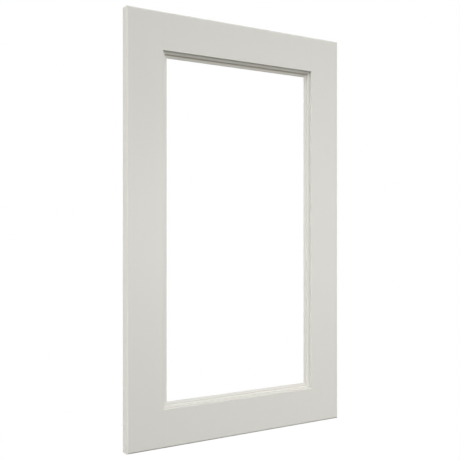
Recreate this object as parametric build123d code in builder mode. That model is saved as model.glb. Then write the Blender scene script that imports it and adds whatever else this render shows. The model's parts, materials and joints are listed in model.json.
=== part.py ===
"""An open-frame kitchen cabinet door in painted timber.

Two stiles run the full height and two rails fit between them, dowelled at the four corners. A moulded bead is
planted inside the frame, mitred at its corners and set back from the face, and the pane would sit behind it.

Millimetres. X runs across the door, Z runs up it and the face looks along -Y. The origin is the middle of the
bottom edge, halfway through the thickness.
"""

import os

from build123d import *

os.makedirs("parts", exist_ok=True)

# The frame.
door_height = 716.0
door_width = 430.0
door_thickness = 19.0
stile_width = 63.5
rail_width = 63.5
face_edge_radius = 3.0
back_edge_radius = 1.0
opening_edge_radius = 0.5

# The bead's section, from the frame's inner edge: a flat, a quarter round, a small quirk and a fillet.
bead_setback = 4.8
bead_flat = 2.9
bead_round = 2.6
bead_quirk = 0.4
bead_fillet = 4.9
bead_lip = 2.0
bead_nose = 1.0
bead_arris = 0.3

# The corner dowels and their holes.
dowel_diameter = 8.0
dowel_length = 40.0
dowel_spacing = 32.0
dowel_chamfer = 1.0
dowel_flutes = 6
flute_depth = 0.4
dowel_fit = 0.05
dowel_end_room = 1.0

# The hinge bores in the back of the left stile: a cup and two screw pilots each.
cup_diameter = 35.0
cup_depth = 12.5
cup_from_side = 22.5
cup_from_end = 100.0
pilot_diameter = 2.5
pilot_depth = 10.0
pilot_spacing = 45.0
pilot_inset = 9.5

# Places worked out from the sizes above.
face_y = -door_thickness / 2
back_y = door_thickness / 2
side_x = door_width / 2
opening_x = side_x - stile_width
opening_bottom = rail_width
opening_top = door_height - rail_width
opening_middle_z = (opening_bottom + opening_top) / 2
rail_heights = {"top": door_height - rail_width / 2, "bottom": rail_width / 2}
sides = {"left": -1, "right": 1}
dowel_rises = {"upper": dowel_spacing / 2, "lower": -dowel_spacing / 2}
cup_heights = (cup_from_end, door_height - cup_from_end)


def finish(piece, name):
    """Labels a finished piece and writes it out."""
    piece.part.label = name
    export_step(piece.part, f"parts/{name}.step")


# The frame's edges are rounded after its members are glued up, so all four are cut from one rounded blank.
with BuildPart() as blank:
    Box(
        door_width,
        door_thickness,
        door_height,
        align=(Align.CENTER, Align.CENTER, Align.MIN),
    )
    fillet(blank.faces().sort_by(Axis.Y)[0].edges(), radius=face_edge_radius)
    fillet(blank.faces().sort_by(Axis.Y)[-1].edges(), radius=back_edge_radius)
    with BuildSketch(Plane.XZ) as opening:
        with Locations((0, opening_middle_z)):
            Rectangle(2 * opening_x, opening_top - opening_bottom)
    extrude(opening.sketch, amount=door_thickness / 2, both=True, mode=Mode.SUBTRACT)
    fillet(blank.faces().sort_by(Axis.Y)[0].inner_wires()[0].edges(), radius=opening_edge_radius)


def bore_dowel_holes(joint_plane, heights):
    """Sinks a joint's holes below joint_plane, whose local x is the height above the door's bottom edge."""
    with BuildSketch(joint_plane) as holes:
        with Locations(*[(height + rise, 0) for height in heights for rise in dowel_rises.values()]):
            Circle(dowel_diameter / 2 + dowel_fit)
    extrude(holes.sketch, amount=-(dowel_length / 2 + dowel_end_room), mode=Mode.SUBTRACT)


def bore_hinge_seats():
    """Sinks both cups and their screw pilots into the back of the left stile."""
    back = Plane(origin=(0, back_y, 0), x_dir=(0, 0, 1), z_dir=(0, 1, 0))
    cup_x = -side_x + cup_from_side
    with BuildSketch(back) as cups:
        with Locations(*[(height, cup_x) for height in cup_heights]):
            Circle(cup_diameter / 2)
    extrude(cups.sketch, amount=-cup_depth, mode=Mode.SUBTRACT)
    with BuildSketch(back) as pilots:
        for height in cup_heights:
            with Locations((height, cup_x + pilot_inset)):
                with GridLocations(pilot_spacing, 0, 2, 1):
                    Circle(pilot_diameter / 2)
    extrude(pilots.sketch, amount=-pilot_depth, mode=Mode.SUBTRACT)


for hand, side in sides.items():
    with BuildPart() as stile:
        add(blank.part)
        with BuildSketch(Plane.XY):
            with Locations((side * (side_x - stile_width / 2), 0)):
                Rectangle(stile_width, door_thickness)
        extrude(amount=door_height, mode=Mode.INTERSECT)
        inner_edge = Plane(origin=(side * opening_x, 0, 0), x_dir=(0, 0, 1), z_dir=(-side, 0, 0))
        bore_dowel_holes(inner_edge, rail_heights.values())
        if hand == "left":
            bore_hinge_seats()
    finish(stile, f"{hand}_stile")

for level, height in rail_heights.items():
    with BuildPart() as rail:
        add(blank.part)
        with BuildSketch(Plane.YZ.offset(-opening_x)):
            with Locations((0, height)):
                Rectangle(door_thickness, rail_width)
        extrude(amount=2 * opening_x, mode=Mode.INTERSECT)
        for side in sides.values():
            rail_end = Plane(origin=(side * opening_x, 0, 0), x_dir=(0, 0, 1), z_dir=(side, 0, 0))
            bore_dowel_holes(rail_end, [height])
    finish(rail, f"{level}_rail")

for level, height in rail_heights.items():
    for hand, side in sides.items():
        for place, rise in dowel_rises.items():
            joint_face = Plane(origin=(side * opening_x, 0, height + rise), x_dir=(0, 0, 1), z_dir=(1, 0, 0))
            with BuildPart() as dowel:
                with BuildSketch(joint_face):
                    Circle(dowel_diameter / 2)
                extrude(amount=dowel_length / 2, both=True)
                chamfer(dowel.edges().filter_by(GeomType.CIRCLE), length=dowel_chamfer)
                with BuildSketch(joint_face):
                    with PolarLocations(dowel_diameter / 2, dowel_flutes):
                        RegularPolygon(radius=flute_depth, side_count=4)
                extrude(amount=dowel_length / 2, both=True, mode=Mode.SUBTRACT)
            finish(dowel, f"dowel_{level}_{hand}_{place}")


def plant_bead(name, inward, edge_middle, run):
    """Makes one mitred strip of the bead.

    Local x goes inward from the frame's inner edge, local y is the depth below the face, and the strip runs
    along local z for half of run each way.
    """
    section_plane = Plane(origin=edge_middle, x_dir=inward, z_dir=inward.cross(Vector(0, 1, 0)))
    round_foot_x = bead_flat + bead_round
    round_foot_y = bead_setback + bead_round
    fillet_y = round_foot_y + bead_quirk
    tip_x = round_foot_x + bead_fillet
    bead_back_y = fillet_y + bead_lip
    with BuildPart() as strip:
        with BuildSketch(section_plane) as section:
            with BuildLine():
                Line((0, bead_setback), (bead_flat, bead_setback))
                RadiusArc((bead_flat, bead_setback), (round_foot_x, round_foot_y), -bead_round)
                Polyline(
                    (round_foot_x, round_foot_y),
                    (round_foot_x, fillet_y),
                    (tip_x, fillet_y),
                    (tip_x, bead_back_y),
                    (0, bead_back_y),
                    (0, bead_setback),
                )
            make_face()
            fillet(section.vertices().group_by(Axis.X)[-1].sort_by(Axis.Y)[0], radius=bead_nose)
            fillet(section.vertices().group_by(Axis.X)[-1].sort_by(Axis.Y)[-1], radius=bead_arris)
        extrude(amount=run / 2, both=True)
        for end in (-1, 1):
            mitre = Plane(
                origin=edge_middle + section_plane.z_dir * (end * run / 2),
                z_dir=inward + section_plane.z_dir * end,
            )
            split(bisect_by=mitre, keep=Keep.BOTTOM)
    finish(strip, name)


plant_bead("bead_left", Vector(1, 0, 0), Vector(-opening_x, face_y, opening_middle_z), opening_top - opening_bottom)
plant_bead("bead_right", Vector(-1, 0, 0), Vector(opening_x, face_y, opening_middle_z), opening_top - opening_bottom)
plant_bead("bead_top", Vector(0, 0, -1), Vector(0, face_y, opening_top), 2 * opening_x)
plant_bead("bead_bottom", Vector(0, 0, 1), Vector(0, face_y, opening_bottom), 2 * opening_x)
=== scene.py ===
# %% [markdown]
# # A painted open-frame cabinet door
#
# The door is a frame of two stiles and two rails with a thin moulded bead planted inside it. The solids
# come from the CAD model at their real size, so this file is about how the door looks: the view of it, the
# studio it hangs in, the sprayed paint, the bead with its paint-softened corners, and the bare timber
# inside the hinge bores.
#
# Everything is in metres. X runs across the door, Z runs up it, and the face looks along -Y.

import json
import math

import bpy
import numpy as np
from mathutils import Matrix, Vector


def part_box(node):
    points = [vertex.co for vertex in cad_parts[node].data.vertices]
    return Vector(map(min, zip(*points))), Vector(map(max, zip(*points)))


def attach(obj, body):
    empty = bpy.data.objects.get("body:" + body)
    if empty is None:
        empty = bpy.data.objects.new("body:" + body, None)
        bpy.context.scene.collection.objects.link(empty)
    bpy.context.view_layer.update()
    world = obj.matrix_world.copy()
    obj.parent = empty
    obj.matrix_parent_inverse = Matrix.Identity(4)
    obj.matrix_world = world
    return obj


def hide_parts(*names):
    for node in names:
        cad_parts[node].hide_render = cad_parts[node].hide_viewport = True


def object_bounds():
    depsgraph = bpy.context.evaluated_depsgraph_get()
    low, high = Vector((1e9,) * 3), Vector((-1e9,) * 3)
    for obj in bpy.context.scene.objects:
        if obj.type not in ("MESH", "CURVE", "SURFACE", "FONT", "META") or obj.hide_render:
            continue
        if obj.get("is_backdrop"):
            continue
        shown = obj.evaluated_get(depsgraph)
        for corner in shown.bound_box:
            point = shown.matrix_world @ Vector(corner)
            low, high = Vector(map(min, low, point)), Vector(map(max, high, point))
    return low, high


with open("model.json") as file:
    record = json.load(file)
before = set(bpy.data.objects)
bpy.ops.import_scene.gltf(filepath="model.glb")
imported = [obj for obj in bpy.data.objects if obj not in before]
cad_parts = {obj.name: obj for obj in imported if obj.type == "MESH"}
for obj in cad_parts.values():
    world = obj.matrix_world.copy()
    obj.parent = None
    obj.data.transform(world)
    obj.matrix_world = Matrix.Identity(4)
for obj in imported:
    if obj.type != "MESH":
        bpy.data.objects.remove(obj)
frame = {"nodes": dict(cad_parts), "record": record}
cad_low, cad_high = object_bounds()
door_size = cad_high - cad_low
door_middle = (cad_low + cad_high) / 2
nodes = frame["nodes"]
millimetre = 0.001
print(f"{len(nodes)} nodes, {door_size.x:.3f} by {door_size.y:.3f} by {door_size.z:.3f} m")

# %% [markdown]
# ## The camera
#
# Lines that run across the door meet far to the right of the picture, and its uprights stay parallel. So
# the camera stands level, at the door's mid height, and looks past it to the right. It could be placed by
# eye, but a least-squares fit to the outline gives its distance, its place and its turn more closely. The
# picture is a plain central crop, so no shift is needed.

# %% Camera
picture_width = 460
sensor_width = 36.0
focal_length_px = 706.0
distance_to_face = 1.0467
left_of_middle = 0.6530
turn_to_right = math.radians(30.99)

camera_data = bpy.data.cameras.new("camera")
camera_data.sensor_width = sensor_width
camera_data.lens = focal_length_px * sensor_width / picture_width
camera = bpy.data.objects.new("camera", camera_data)
camera.location = (-left_of_middle, cad_low.y - distance_to_face, door_middle.z)
camera.rotation_euler = (math.radians(90), 0, -turn_to_right)
bpy.context.scene.collection.objects.link(camera)
bpy.context.scene.camera = camera
print(f"a {camera_data.lens:.1f} mm lens, {distance_to_face:.3f} m in front of the face")

# %% [markdown]
# ## Small helpers for nodes
#
# A material could be wired by hand in the shader editor, but a script is easier to read through and to
# change. Each material here is a chain of small steps, so a few helpers keep it short: one links or sets a
# socket, one adds a node, and the others do arithmetic, split or scale a vector, and make soft steps,
# blends and noise.

# %% Node helpers


def plug(tree, socket, value):
    """Links value to socket when it is another socket, and otherwise sets it."""
    if isinstance(value, bpy.types.NodeSocket):
        tree.links.new(value, socket)
    else:
        socket.default_value = value


def add_node(tree, kind, inputs=None, **settings):
    """Adds a node, applies its settings, and plugs its inputs by name or number."""
    node = tree.nodes.new(kind)
    for name, value in settings.items():
        setattr(node, name, value)
    for name, value in (inputs or {}).items():
        plug(tree, node.inputs[name], value)
    return node


def maths(tree, operation, *values):
    """One Math node's result."""
    return add_node(tree, "ShaderNodeMath", dict(enumerate(values)), operation=operation).outputs[0]


def parts_of(tree, vector_value):
    """A vector's three numbers, named X, Y and Z."""
    return add_node(tree, "ShaderNodeSeparateXYZ", {0: vector_value}).outputs


def scaled(tree, vector_value, factor):
    """A vector or a colour times one number."""
    inputs = {0: vector_value, "Scale": factor}
    return add_node(tree, "ShaderNodeVectorMath", inputs, operation="SCALE").outputs[0]


def ramp(tree, value, start, end, low=0.0, high=1.0):
    """A smooth step: low before start, high after end, and an S-shaped rise between them."""
    inputs = {"Value": value, "From Min": start, "From Max": end, "To Min": low, "To Max": high}
    return add_node(tree, "ShaderNodeMapRange", inputs, interpolation_type="SMOOTHSTEP").outputs[0]


def blend_numbers(tree, factor, first, second):
    """first where factor is 0, second where it is 1, and a mix of both between."""
    inputs = {"Factor": factor, "A": first, "B": second}
    return add_node(tree, "ShaderNodeMix", inputs, data_type="FLOAT").outputs[0]


def blend_colours(tree, factor, first, second, blend_type="MIX"):
    """The colour between first and second. With MULTIPLY, second darkens first as far as factor says."""
    node = add_node(tree, "ShaderNodeMix", {"Factor": factor}, data_type="RGBA", blend_type=blend_type)
    plug(tree, node.inputs[6], first)
    plug(tree, node.inputs[7], second)
    return node.outputs[2]


def noise(tree, place, scale, detail=2.0):
    """Soft noise from 0 to 1, with scale features to the metre."""
    inputs = {"Vector": place, "Scale": scale, "Detail": detail}
    return add_node(tree, "ShaderNodeTexNoise", inputs).outputs[0]


print("node helpers: plug, add_node, maths, parts_of, scaled, ramp, blend_numbers, blend_colours, noise")

# %% [markdown]
# ## The studio
#
# A product studio lights a pale door with broad white panels. The strongest hangs overhead, and weaker ones
# stand high in front and along the left wall. Panels level with the door rake across it from both sides,
# and two behind it show its back. So ledges catch light from any side, and only the undersides stay dark.
# Panels that broad could be area lamps, but then the door's head would be nearer to them than its foot.
# Here they are soft-edged patches of the world, which is as far off for every point. The camera and
# reflections see a plain white world instead, so the background is white without any more light on the
# door.

# %% The panels
# Each panel: degrees left of the front, degrees up, half its width and half its height in degrees, its
# strength and its colour.
cool = (0.87, 0.87, 1.0)
neutral = (1.0, 1.0, 0.97)
panels = {
    "overhead": (22.5, 68.0, 22.5, 22.0, 6.8, cool),
    "front": (0.0, 35.5, 40.0, 10.5, 2.6, neutral),
    "left_wall": (67.5, 35.5, 22.5, 10.5, 2.4, neutral),
    "left_side": (90.0, 9.5, 18.0, 14.0, 5.3, neutral),
    "right_side": (-80.0, 1.0, 18.0, 10.0, 5.0, neutral),
    "right_high": (-67.5, 16.0, 22.5, 9.0, 1.2, neutral),
    "right_back": (-135.0, 11.0, 45.0, 15.0, 2.6, neutral),
    "left_back": (135.0, 6.0, 45.0, 13.0, 0.7, neutral),
}
panel_softness = 5.0
fill_strength = 0.04
print(f"{len(panels)} panels, {panel_softness:.0f} degrees soft at their edges")

# %% The world
white = (1.0, 1.0, 1.0, 1.0)

world = bpy.data.worlds.new("studio")
bpy.context.scene.world = world
world.use_nodes = True
sky = world.node_tree
sky.nodes.clear()
toward = parts_of(sky, add_node(sky, "ShaderNodeTexCoord").outputs["Generated"])
to_left = maths(sky, "MULTIPLY", toward["X"], -1.0)
to_front = maths(sky, "MULTIPLY", toward["Y"], -1.0)
leftward = maths(sky, "DEGREES", maths(sky, "ARCTAN2", to_left, to_front))
upward = maths(sky, "DEGREES", maths(sky, "ARCSINE", toward["Z"]))


def band(angle, middle, half_width):
    """1 within half_width of middle, with a fade to 0 that is as wide as the panels' softness."""
    away = maths(sky, "ABSOLUTE", maths(sky, "SUBTRACT", angle, middle))
    edge = (half_width - panel_softness / 2, half_width + panel_softness / 2)
    return ramp(sky, away, *edge, 1.0, 0.0)


def seen_rays(tree):
    """1 for rays from the camera, off a gloss or through glass, and 0 for those that light things."""
    rays = add_node(tree, "ShaderNodeLightPath").outputs
    seen = maths(tree, "MAXIMUM", rays["Is Camera Ray"], rays["Is Glossy Ray"])
    return maths(tree, "MAXIMUM", seen, rays["Is Transmission Ray"])


glow = (fill_strength,) * 3
for left, up, half_width, half_height, strength, colour in panels.values():
    patch = maths(sky, "MULTIPLY", band(leftward, left, half_width), band(upward, up, half_height))
    lit = scaled(sky, [strength * channel for channel in colour], patch)
    glow = add_node(sky, "ShaderNodeVectorMath", {0: lit, 1: glow}, operation="ADD").outputs[0]
lighting = add_node(sky, "ShaderNodeBackground", {"Color": glow, "Strength": 1.0}).outputs[0]
backdrop = add_node(sky, "ShaderNodeBackground", {"Color": white, "Strength": 1.0}).outputs[0]
surface = add_node(sky, "ShaderNodeMixShader", {0: seen_rays(sky), 1: lighting, 2: backdrop}).outputs[0]
add_node(sky, "ShaderNodeOutputWorld", {"Surface": surface})
bpy.context.scene.view_settings.view_transform = "Standard"
print(f"a white world that lights the door with {len(panels)} panels")

# %% [markdown]
# ## The lamps
#
# A small lamp near the door's mid height gives the face its faint brightening there, and one further right
# adds the satin paint's soft gleam. A third, near the left side, does for that side what the first does for
# the face. The near ones couldn't be panels, which are as far off for every point: only a near lamp fades
# up and down the door.

# %% Lamps
# Each lamp is a white square, level with the door's middle: degrees left of the front, distance, width and
# watts.
lamps = {
    "mid_front": (-14, 1.05, 0.3, 2.9),
    "right_front": (-39, 5.0, 1.2, 14.0),
    "mid_left": (100, 1.0, 0.3, 0.7),
}
for name, (left, away, width, watts) in lamps.items():
    left = math.radians(left)
    direction = Vector((-math.sin(left), -math.cos(left), 0.0))
    light = bpy.data.lights.new(name, "AREA")
    light.shape = "SQUARE"
    light.size = width
    light.energy = watts
    lamp = bpy.data.objects.new(name, light)
    lamp.location = door_middle + direction * away
    lamp.rotation_euler = (-direction).to_track_quat("-Z", "Y").to_euler()
    lamp.visible_camera = False
    bpy.context.scene.collection.objects.link(lamp)
print(f"{len(lamps)} lamps")

# %% [markdown]
# ## The floor
#
# The floor lies half a metre under the hanging door, so the shadow falls behind it. A white floor would
# throw light up at the door. So the paper is pale to the camera and glows to full white further off, but to
# light that bounces it is darker, which keeps the undersides of the mouldings dark.

# %% Floor
floor_drop = 0.5
floor_width = 14.0
shadow_reach = (0.9, 1.9)
paper_seen = 0.45
paper_bounce = 0.08
paper_glow = 0.6

bpy.ops.mesh.primitive_plane_add(size=floor_width, location=(0, 0, cad_low.z - floor_drop))
floor = bpy.context.active_object
floor.name = "floor"
floor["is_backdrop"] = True
paper = bpy.data.materials.new("paper")
paper.use_nodes = True
tree = paper.node_tree
tree.nodes.clear()
seen = seen_rays(tree)
place = add_node(tree, "ShaderNodeTexCoord").outputs["Object"]
from_door = add_node(tree, "ShaderNodeVectorMath", {0: place}, operation="LENGTH").outputs["Value"]
glow = ramp(tree, from_door, *shadow_reach, paper_glow, 1.0)
shaded = ramp(tree, from_door, *shadow_reach, paper_seen, 0.0)
tone = blend_numbers(tree, seen, paper_bounce, shaded)
matt = add_node(tree, "ShaderNodeBsdfDiffuse", {"Color": tone}).outputs[0]
shine = add_node(tree, "ShaderNodeEmission", {"Strength": maths(tree, "MULTIPLY", glow, seen)}).outputs[0]
surface = add_node(tree, "ShaderNodeAddShader", {0: matt, 1: shine}).outputs[0]
add_node(tree, "ShaderNodeOutputMaterial", {"Surface": surface})
floor.data.materials.append(paper)
print(f"the floor is {floor_drop:.1f} m under the door")

# %% [markdown]
# ## The painted bead
#
# The real bead is a thin machined strip, mitred at its corners and glued into the frame. Sprayed paint
# softens it: the coat gathers in a tiny cove where the bead meets the frame, fills the bottom of its quirk,
# and rounds its arrises. A bevel modifier could round edges, but it can't fill corners. So each strip is a
# section carried along a straight run, with the coves in the section, and it replaces the sharper CAD
# strip. Its inner ledge, the fillet, falls back by ten degrees, so the lower one is lighter than the face,
# as the real one is.

# %% The bead's sizes
# Widths run inwards from the frame's inner edge and depths back from the face. The fillet's fall is in
# degrees.
bead_setback = 4.8 * millimetre
bead_flat = 2.9 * millimetre
bead_round = 2.6 * millimetre
bead_quirk = 0.4 * millimetre
bead_fillet = 4.9 * millimetre
bead_fall = 10.0
bead_lip = 2.0 * millimetre
bead_nose = 0.8 * millimetre
bead_arris = 0.35 * millimetre
frame_cove = 0.35 * millimetre
quirk_cove = 0.12 * millimetre

quirk_x = bead_flat + bead_round
ledge = bead_setback + bead_round + bead_quirk
tip = quirk_x + bead_fillet
bead_back = ledge + bead_lip
print(f"a bead {tip / millimetre:.1f} mm wide, set back {bead_setback / millimetre:.1f} mm")

# %% The bead's section
fewest_steps = 4
arc_step = 0.2 * millimetre


def bend(centre, radius, start, end, hollow=False):
    """Points and outward normals along part of a circle.

    A point is centre + radius * (cos a, sin a) for a from start to end degrees. Its normal points away from
    the centre, or towards it where the bend is hollow.
    """
    steps = fewest_steps + int(radius / arc_step)
    a = np.radians(np.linspace(start, end, steps + 1))
    spokes = np.stack([np.cos(a), np.sin(a)], axis=1)
    return np.array(centre) + radius * spokes, -spokes if hollow else spokes


# The fillet is the straight line that touches the quirk's cove and the nose. So the nose's centre is deeper
# than the cove's by (both radii + the width between the centres * sin(fall)) / cos(fall).
fall = math.radians(bead_fall)
between_centres = tip - bead_nose - (quirk_x + quirk_cove)
nose_below_cove = (quirk_cove + bead_nose + between_centres * math.sin(fall)) / math.cos(fall)
nose_depth = ledge - quirk_cove + nose_below_cove
bends = [
    bend((frame_cove, bead_setback - frame_cove), frame_cove, 180, 90, hollow=True),
    bend((bead_flat, bead_setback + bead_round), bead_round, -90, 0),
    bend((quirk_x + quirk_cove, ledge - quirk_cove), quirk_cove, 180, 90 + bead_fall, hollow=True),
    bend((tip - bead_nose, nose_depth), bead_nose, -90 + bead_fall, 0),
    bend((tip - bead_arris, bead_back - bead_arris), bead_arris, 0, 90),
    bend((frame_cove, bead_back + frame_cove), frame_cove, -90, -180, hollow=True),
]
section_points = np.concatenate([points for points, normals in bends])
section_normals = np.concatenate([normals for points, normals in bends])
print(f"{len(section_points)} points round the section")

# %% The opening
face_y = cad_low.y
bead_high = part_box("bead_top")[1]
opening_x = bead_high.x
opening_top = bead_high.z
opening_half_height = opening_top - door_middle.z
opening_bottom = door_middle.z - opening_half_height
across, upright = 2 * opening_x, 2 * opening_half_height
print(f"the opening is {across:.3f} by {upright:.3f} m inside the frame")

# %% Carry the section along a run


def strip(name, inward, edge_middle, run):
    """A mitred strip: the section carried along a straight run.

    A section point at x inward and d deep lies at edge_middle + x * inward + d * back +
    t * (run / 2 - x) * along for t = -1 and 1, so both ends are cut at 45 degrees. The faces' corner normals
    are the section's own, except on the last side, which lies flat against the frame, and on the cut ends.
    """
    inward = np.array(inward, float)
    back = np.array([0.0, 1.0, 0.0])
    along = np.cross(inward, back)
    x, d = section_points[:, :1], section_points[:, 1:]
    base = np.array(edge_middle) + x * inward + d * back
    points = np.concatenate([base + t * (run / 2 - x) * along for t in (-1, 1)])
    count = len(base)
    here = np.arange(count)
    after = (here + 1) % count
    sides = np.stack([here, after, after + count, here + count], axis=1)
    mesh = bpy.data.meshes.new(name)
    mesh.from_pydata(points.tolist(), [], sides.tolist() + [(here + count).tolist(), here[::-1].tolist()])
    around = section_normals[:, :1] * inward + section_normals[:, 1:] * back
    corners = np.stack([around[here], around[after], around[after], around[here]], axis=1)
    corners[-1] = -inward
    ends = [np.repeat([(inward + t * along) / math.sqrt(2)], count, axis=0) for t in (1, -1)]
    mesh.polygons.foreach_set("use_smooth", np.ones(len(mesh.polygons), bool))
    mesh.normals_split_custom_set(np.concatenate([corners.reshape(-1, 3), *ends]).tolist())
    piece = bpy.data.objects.new(name, mesh)
    bpy.context.scene.collection.objects.link(piece)
    return piece


beads = {
    "bead_left": strip("bead_left_painted", (1, 0, 0), (-opening_x, face_y, door_middle.z), upright),
    "bead_right": strip("bead_right_painted", (-1, 0, 0), (opening_x, face_y, door_middle.z), upright),
    "bead_top": strip("bead_top_painted", (0, 0, -1), (0, face_y, opening_top), across),
    "bead_bottom": strip("bead_bottom_painted", (0, 0, 1), (0, face_y, opening_bottom), across),
}
for node_name, piece in beads.items():
    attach(piece, "root")
    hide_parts(node_name)
print(f"{len(beads)} strips round the opening")

# %% [markdown]
# ## The sprayed coat
#
# The real door is sprayed with a satin coat. Up close it isn't flat: it dries with a fine orange peel, the
# timber's grain telegraphs through it along each member, and its tone wanders a little. It bridges each
# joint with a faint hairline. Shade is painted into its colour too: it is a touch darker and warmer in the
# creases of the bead and on undersides.
#
# A picture of paint could be wrapped round each piece, but it would blur from near by and slip off the
# joints. So the coat is worked out at every point, from noise and from the door's own measurements in
# Object coordinates. All painted pieces share it, so it is a node group, which each material places with
# its own grain.

# %% Helpers for node groups
number, colour_kind, vector = "NodeSocketFloat", "NodeSocketColor", "NodeSocketVector"


def new_group(name, inputs, outputs):
    """A shader node group with its inputs (name: kind and default) and outputs (name: kind)."""
    group = bpy.data.node_groups.new(name, "ShaderNodeTree")
    for socket_name, (kind, default) in inputs.items():
        socket = group.interface.new_socket(socket_name, in_out="INPUT", socket_type=kind)
        socket.default_value = default
    for socket_name, kind in outputs.items():
        group.interface.new_socket(socket_name, in_out="OUTPUT", socket_type=kind)
    return group, group.nodes.new("NodeGroupInput").outputs, group.nodes.new("NodeGroupOutput").inputs


def stretch(tree, place, scales):
    """The place with each axis times its own scale, so that noise on it is drawn out along one axis."""
    return add_node(tree, "ShaderNodeVectorMath", {0: place, 1: scales}, operation="MULTIPLY").outputs[0]


def distance(tree, sideways, onwards):
    """The length of a step that goes sideways and onwards: the root of the sum of their squares."""
    offset = add_node(tree, "ShaderNodeCombineXYZ", {0: sideways, 1: onwards}).outputs[0]
    return add_node(tree, "ShaderNodeVectorMath", {0: offset}, operation="LENGTH").outputs["Value"]


print("group helpers: new_group, stretch, distance")

# %% Node group: sprayed coat
# The grain's scales are in features to the metre, across it and along it.
across_scale, along_scale = 900, 12
along_z = (across_scale, across_scale, along_scale)
along_x = (along_scale, across_scale, across_scale)

coat, given, result = new_group(
    "sprayed_coat",
    {
        "Colour": (colour_kind, (0.66, 0.65, 0.62, 1)),
        "Grain Scale": (vector, along_z),
        "Grain Depth": (number, 0.007 * millimetre),
        "Peel Depth": (number, 0.009 * millimetre),
        "Tone": (number, 0.024),
        "Crease Shade": (number, 1.0),
    },
    {"Colour": colour_kind, "Roughness": number, "Height": number},
)
place = add_node(coat, "ShaderNodeTexCoord").outputs["Object"]
spot = parts_of(coat, place)
print(f"group sprayed_coat with {len(given) - 1} inputs")

# %% Grain, peel and tone, in the same group
# The scales are in features to the metre.
peel_scale = 420.0
drift_scale = 9.0
mottle_scale = 90.0
mottle_share = 0.5
noise_average = 0.5

grain = noise(coat, stretch(coat, place, given["Grain Scale"]), 1.0, 3.0)
peel = noise(coat, place, peel_scale, 1.5)
drift = noise(coat, place, drift_scale)
mottle = noise(coat, place, mottle_scale, 3.0)
spread = maths(coat, "MULTIPLY_ADD", mottle, mottle_share, drift)
spread = maths(coat, "SUBTRACT", spread, noise_average * (1 + mottle_share))
shade = maths(coat, "ADD", 1.0, maths(coat, "MULTIPLY", spread, given["Tone"]))
tinted = scaled(coat, given["Colour"], shade)
print(f"peel {1 / peel_scale / millimetre:.1f} mm and mottle {1 / mottle_scale / millimetre:.0f} mm across")

# %% Hairlines over the joints, in the same group
# Each hairline is full within the first distance from its joint and gone at the second.
frame_hairline = (0.05 * millimetre, 0.18 * millimetre)
mitre_hairline = (0.05 * millimetre, 0.22 * millimetre)

inset_x = maths(coat, "SUBTRACT", opening_x, maths(coat, "ABSOLUTE", spot["X"]))
rise = maths(coat, "ABSOLUTE", maths(coat, "SUBTRACT", spot["Z"], door_middle.z))
inset_z = maths(coat, "SUBTRACT", opening_half_height, rise)
inset = maths(coat, "MINIMUM", inset_x, inset_z)
on_bead = maths(coat, "GREATER_THAN", inset, 0.0)
beyond = maths(coat, "LESS_THAN", inset_z, 0.0)
frame_joint = ramp(coat, maths(coat, "ABSOLUTE", inset_x), *frame_hairline, 1.0, 0.0)
mitre_gap = maths(coat, "ABSOLUTE", maths(coat, "SUBTRACT", inset_x, inset_z))
mitre = ramp(coat, mitre_gap, *mitre_hairline, 1.0, 0.0)
hairline = maths(coat, "MULTIPLY", frame_joint, beyond)
hairline = maths(coat, "ADD", hairline, maths(coat, "MULTIPLY", mitre, on_bead))
print("hairlines over four frame joints and four mitres")

# %% Painted shade in the creases and under the ledges, in the same group
# Painted shade: a crease is fully darkened within the first distance from its corner and not at all past the
# second. The one at the frame is weaker than the quirk's. An underside is painted darkest where its normal
# points down by the set amount or more. Near the opening's edge, within the rim, it has only a share of
# that.
crease_shade_reach = (0.2 * millimetre, 1.1 * millimetre)
frame_crease_shade = 0.6
underside_shade_full = 0.45
rim = (0.1 * millimetre, 1.0 * millimetre)
rim_share = 0.35

depth = maths(coat, "SUBTRACT", spot["Y"], face_y)


def crease_shade_at(inset_of_crease, depth_of_crease):
    """The painted shade's mask along a crease: it fades from 1 to 0 with the distance from a line round the
    opening.
    """
    sideways = maths(coat, "SUBTRACT", inset, inset_of_crease)
    deeper = maths(coat, "SUBTRACT", depth, depth_of_crease)
    return ramp(coat, distance(coat, sideways, deeper), *crease_shade_reach, 1.0, 0.0)


crease_shade = maths(coat, "MULTIPLY", crease_shade_at(0.0, bead_setback), frame_crease_shade)
crease_shade = maths(coat, "MAXIMUM", crease_shade_at(quirk_x, ledge), crease_shade)
crease_shade = maths(coat, "MULTIPLY", crease_shade, given["Crease Shade"])
facing = parts_of(coat, add_node(coat, "ShaderNodeTexCoord").outputs["Normal"])
underside_shade = ramp(coat, maths(coat, "MULTIPLY", facing["Z"], -1.0), 0.0, underside_shade_full)
off_rim = ramp(coat, maths(coat, "ABSOLUTE", inset), *rim, rim_share, 1.0)
underside_shade = maths(coat, "MULTIPLY", underside_shade, off_rim)
# Painted shade in the creases and on undersides.
print("creases at the frame and in the quirk, and thinner paint underneath")

# %% What the coat gives its materials
hairline_depth = 0.012 * millimetre
hairline_colour = (0.90, 0.88, 0.84, 1)
# The crease and underside colours are painted shade, multiplied into the paint's colour.
crease_shade_colour = (0.78, 0.75, 0.68, 1)
underside_shade_colour = (0.77, 0.75, 0.70, 1)
coat_roughness = 0.46
mottle_roughness = 0.12
grain_roughness = 0.08

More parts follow.
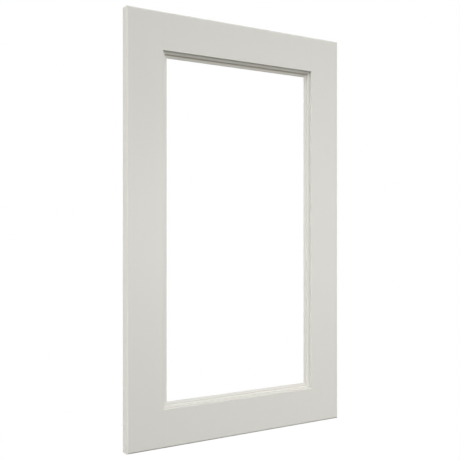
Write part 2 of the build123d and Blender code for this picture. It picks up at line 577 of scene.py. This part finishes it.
tinted = blend_colours(coat, underside_shade, tinted, underside_shade_colour, "MULTIPLY")
tinted = blend_colours(coat, hairline, tinted, hairline_colour, "MULTIPLY")
plug(coat, result["Colour"], blend_colours(coat, crease_shade, tinted, crease_shade_colour, "MULTIPLY"))
blotches = maths(coat, "MULTIPLY", maths(coat, "SUBTRACT", mottle, noise_average), mottle_roughness)
streaks = maths(coat, "MULTIPLY", maths(coat, "SUBTRACT", grain, noise_average), grain_roughness)
plug(coat, result["Roughness"], maths(coat, "ADD", coat_roughness, maths(coat, "ADD", blotches, streaks)))
height = maths(coat, "MULTIPLY", grain, given["Grain Depth"])
height = maths(coat, "ADD", height, maths(coat, "MULTIPLY", peel, given["Peel Depth"]))
plug(coat, result["Height"], maths(coat, "MULTIPLY_ADD", hairline, -hairline_depth, height))
print(f"a satin coat of roughness {coat_roughness:.2f}")

# %% [markdown]
# ## The timber
#
# Bare wood shows only inside the hinge bores, and on the dowels if a joint is taken apart. Its growth rings
# are pale bands that end in a darker line, and fine pores run with the grain. A wave texture could draw the
# rings, but they would be too even. So each ring is a ramp, repeated across the grain at a distance that
# wanders with noise, and the pores are noise alone. Both noises are stretched along the grain. Two materials
# use the timber, so it is a group too, with Z as its grain.

# %% Node group: bare timber
timber, given, result = new_group(
    "bare_timber",
    {
        "Place": (vector, (0, 0, 0)),
        "Early": (colour_kind, (0.60, 0.44, 0.26, 1)),
        "Late": (colour_kind, (0.42, 0.27, 0.14, 1)),
        "Ring Width": (number, 2.6 * millimetre),
    },
    {"Colour": colour_kind, "Roughness": number, "Height": number},
)
print(f"group bare_timber with {len(given) - 1} inputs")

# %% Growth rings and pores, in the same group
# The scales are in features to the metre, across and along the grain. A ring runs from 0 to 1 and darkens
# over late_band, and a pore opens as the fibres' noise rises through pore_band.
wander_scales = (55, 55, 4)
ring_wander = 12 * millimetre
ring_slant = 0.35
late_band = (0.45, 0.96)
fibre_scales = (2600, 2600, 70)
pore_band = (0.60, 0.72)

wander = noise(timber, stretch(timber, given["Place"], wander_scales), 1.0, 2.0)
wander = maths(timber, "MULTIPLY", wander, ring_wander)
across_grain = parts_of(timber, given["Place"])
radius = maths(timber, "MULTIPLY_ADD", across_grain["Y"], ring_slant, across_grain["X"])
ring = maths(timber, "DIVIDE", maths(timber, "ADD", radius, wander), given["Ring Width"])
late = ramp(timber, maths(timber, "FRACT", ring), *late_band)
fibre = noise(timber, stretch(timber, given["Place"], fibre_scales), 1.0, 3.0)
pore = ramp(timber, fibre, *pore_band)
print("rings and pores with the grain along Z")

# %% What the timber gives its materials
late_share = 0.65
pore_share = 0.45
early_roughness = 0.72
late_polish = -0.12
fibre_depth = 0.02 * millimetre
pore_sink = -2.0

wood = blend_colours(timber, maths(timber, "MULTIPLY", late, late_share), given["Early"], given["Late"])
wood = blend_colours(timber, maths(timber, "MULTIPLY", pore, pore_share), wood, given["Late"])
plug(timber, result["Colour"], wood)
plug(timber, result["Roughness"], maths(timber, "MULTIPLY_ADD", late, late_polish, early_roughness))
relief = maths(timber, "MULTIPLY_ADD", pore, pore_sink, fibre)
plug(timber, result["Height"], maths(timber, "MULTIPLY", relief, fibre_depth))
print(f"a dry timber of roughness {early_roughness:.2f}")

# %% [markdown]
# ## The painted materials
#
# Each member's grain runs along it, so the stiles and rails need the coat turned two ways. One material
# could turn the grain by itself, but two that differ only in a scale and in their crease shade are simpler.
# The upright beads' creases get much less painted shade than the level ones', as the studio's light falls
# mostly from above.

# %% Painted materials
paint_colour = (0.641, 0.633, 0.582, 1)
paint_specular = 0.5
# Painted shade in the creases: full on the level beads, faint on the upright ones.
upright_crease_shade, level_crease_shade = 0.12, 1.0


def new_material(name, specular):
    """A material with a Principled shader and a Bump node ready to be fed."""
    material = bpy.data.materials.new(name)
    material.use_nodes = True
    tree = material.node_tree
    shader = tree.nodes["Principled BSDF"].inputs
    plug(tree, shader["Specular IOR Level"], specular)
    bump = add_node(tree, "ShaderNodeBump", {"Distance": 1.0, "Strength": 1.0})
    plug(tree, shader["Normal"], bump.outputs[0])
    return material, tree, shader, bump.inputs["Height"]


def add_group(tree, group, inputs):
    """Places a node group, plugs its inputs, and gives its outputs."""
    return add_node(tree, "ShaderNodeGroup", inputs, node_tree=group).outputs


def feed(tree, shader, height, finish):
    """Plugs a finish's colour, roughness and height into a material's shader and bump."""
    plug(tree, shader["Base Color"], finish["Colour"])
    plug(tree, shader["Roughness"], finish["Roughness"])
    plug(tree, height, finish["Height"])


def painted(name, grain_scale, crease_shade_strength):
    """A satin paint, its grain stretched along one way and as much painted shade in its creases as asked."""
    material, tree, shader, height = new_material(name, paint_specular)
    inputs = {"Colour": paint_colour, "Grain Scale": grain_scale, "Crease Shade": crease_shade_strength}
    feed(tree, shader, height, add_group(tree, coat, inputs))
    return material


upright_paint = painted("upright_paint", along_z, upright_crease_shade)
level_paint = painted("level_paint", along_x, level_crease_shade)
print("paint for the upright members and for the level ones")

# %% [markdown]
# ## The hinge bores
#
# The left stile's back has two hinge cups with a pair of screw pilots each. They are drilled after
# spraying, so inside them the coat stops and the timber shows, with the rings that the drill's lips leave
# and the mark of its point. The bores' faces could have a material of their own, but the paint's edge would
# then be as sharp as the rim's. A mask worked out from the bores' centres mixes both finishes on the one
# mesh instead, and lets the paint creep over each rim by a fraction of a millimetre.

# %% Bored and painted: where the bores are
mounts = {mount["name"]: mount for mount in frame["record"]["mounts"]}
cup = mounts["hinge_cup_top"]
screws = mounts["hinge_screws_top"]
cup_rise = cup["pos_m"][2] - door_middle.z

bored_paint, tree, shader, height = new_material("bored_paint", paint_specular)
film = add_group(tree, coat, {"Colour": paint_colour, "Grain Scale": along_z, "Crease Shade": upright_crease_shade})
place = add_node(tree, "ShaderNodeTexCoord").outputs["Object"]
wood = add_group(tree, timber, {"Place": place})
spot = parts_of(tree, place)
rise = maths(tree, "ABSOLUTE", maths(tree, "SUBTRACT", spot["Z"], door_middle.z))
rise = maths(tree, "SUBTRACT", rise, cup_rise)


def from_axis(x, z):
    """The distance from a line along Y at x, and at z above or below the cups' middles."""
    sideways = maths(tree, "SUBTRACT", spot["X"], x)
    return distance(tree, sideways, maths(tree, "SUBTRACT", maths(tree, "ABSOLUTE", rise), z))


from_cup = from_axis(cup["pos_m"][0], 0.0)
from_pilot = from_axis(screws["pos_m"][0], screws["dims"]["spacing_y_mm"] / 2 * millimetre)
print(f"cups {2 * cup['dims']['r_mm']:.0f} mm across, {cup_rise:.3f} m above and below the middle")

# %% Where the timber is bare
# The mask reaches a little past the bores' walls and the cup's floor, and starts a little below the back.
wall_room_mm = 0.15
floor_room_mm = 1.0
rim_depth = 0.1 * millimetre
rim_blur = 0.12 * millimetre
paint_creep = 0.35 * millimetre
creep_scale = 900.0

in_cup = maths(tree, "LESS_THAN", from_cup, (cup["dims"]["r_mm"] + wall_room_mm) * millimetre)
in_pilot = maths(tree, "LESS_THAN", from_pilot, (screws["dims"]["hole_r_mm"] + wall_room_mm) * millimetre)
creep = maths(tree, "MULTIPLY", noise(tree, place, creep_scale), paint_creep)
below = maths(tree, "SUBTRACT", cad_high.y - rim_depth, spot["Y"])
cut = ramp(tree, maths(tree, "SUBTRACT", below, creep), 0.0, rim_blur)
floor_of_cup = (cup["dims"]["length_mm"] + floor_room_mm) * millimetre
cut = maths(tree, "MULTIPLY", cut, maths(tree, "LESS_THAN", below, floor_of_cup))
bare = maths(tree, "MULTIPLY", cut, maths(tree, "MAXIMUM", in_cup, in_pilot))
print(f"bare from the back down to {floor_of_cup / millimetre:.1f} mm")

# %% The drill's marks
tool_pitch = 0.9 * millimetre
tool_depth = 0.03 * millimetre
point_mark = 0.9 * millimetre
point_core = 0.6
point_depth = 0.6 * millimetre
point_stain = 0.7
point_colour = (0.16, 0.10, 0.05, 1)

sweep = maths(tree, "ADD", from_cup, spot["Y"])
ridges = maths(tree, "SINE", maths(tree, "MULTIPLY", sweep, 2 * math.pi / tool_pitch))
mark = ramp(tree, from_cup, point_mark * point_core, point_mark, 1.0, 0.0)
relief = maths(tree, "MULTIPLY_ADD", ridges, tool_depth, wood["Height"])
relief = maths(tree, "MULTIPLY_ADD", mark, -point_depth, relief)
stained = blend_colours(tree, maths(tree, "MULTIPLY", mark, point_stain), wood["Colour"], point_colour)
mixed = {
    "Colour": blend_colours(tree, bare, film["Colour"], stained),
    "Roughness": blend_numbers(tree, bare, film["Roughness"], wood["Roughness"]),
    "Height": blend_numbers(tree, bare, film["Height"], relief),
}
feed(tree, shader, height, mixed)
print(f"drill rings {tool_pitch / millimetre:.1f} mm apart")

# %% [markdown]
# ## The dowels
#
# Two fluted beech dowels are glued across each corner joint, so none of them shows on the finished door.
# They get the timber's group in beech's own colours. It takes Z as its grain and a dowel lies along X. A
# second group could be built for that, but it is simpler to give this one the place with X and Z changed
# over.

# %% Beech dowels
beech_early = (0.62, 0.42, 0.26, 1)
beech_late = (0.48, 0.29, 0.17, 1)
beech_ring = 1.6 * millimetre
beech_specular = 0.4

beech, tree, shader, height = new_material("beech", beech_specular)
spot = parts_of(tree, add_node(tree, "ShaderNodeTexCoord").outputs["Object"])
turned = add_node(tree, "ShaderNodeCombineXYZ", {0: spot["Z"], 1: spot["Y"], 2: spot["X"]}).outputs[0]
inputs = {"Place": turned, "Early": beech_early, "Late": beech_late, "Ring Width": beech_ring}
feed(tree, shader, height, add_group(tree, timber, inputs))
print(f"beech with rings {beech_ring / millimetre:.1f} mm apart")

# %% [markdown]
# ## Dressing the pieces
#
# A CAD node keeps its shape and only its material slot changes. The finish could be written down for every
# node, but a word in a node's name says what it is, so one short table dresses them all. The painted strips
# follow the member that they lie along.

# %% Dress every piece
finishes = {"stile": upright_paint, "rail": level_paint, "bead": level_paint, "dowel": beech}
for node_name, node in nodes.items():
    finish = next(value for word, value in finishes.items() if word in node_name)
    node.data.materials.clear()
    node.data.materials.append(bored_paint if node_name == "left_stile" else finish)
for node_name, piece in beads.items():
    side = "left" in node_name or "right" in node_name
    piece.data.materials.append(upright_paint if side else level_paint)
print(f"{len(nodes)} nodes and {len(beads)} strips dressed")

# %% [markdown]
# ## Measure and finish
#
# The door's size is measured once more, round what now shows, and printed, as the CAD solids' size is at
# the start.

# %% Measure and finish
dressed_low, dressed_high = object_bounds()
dressed_size = dressed_high - dressed_low
print(f"dressed, the door is {dressed_size.x:.3f} by {dressed_size.y:.3f} by {dressed_size.z:.3f} m")
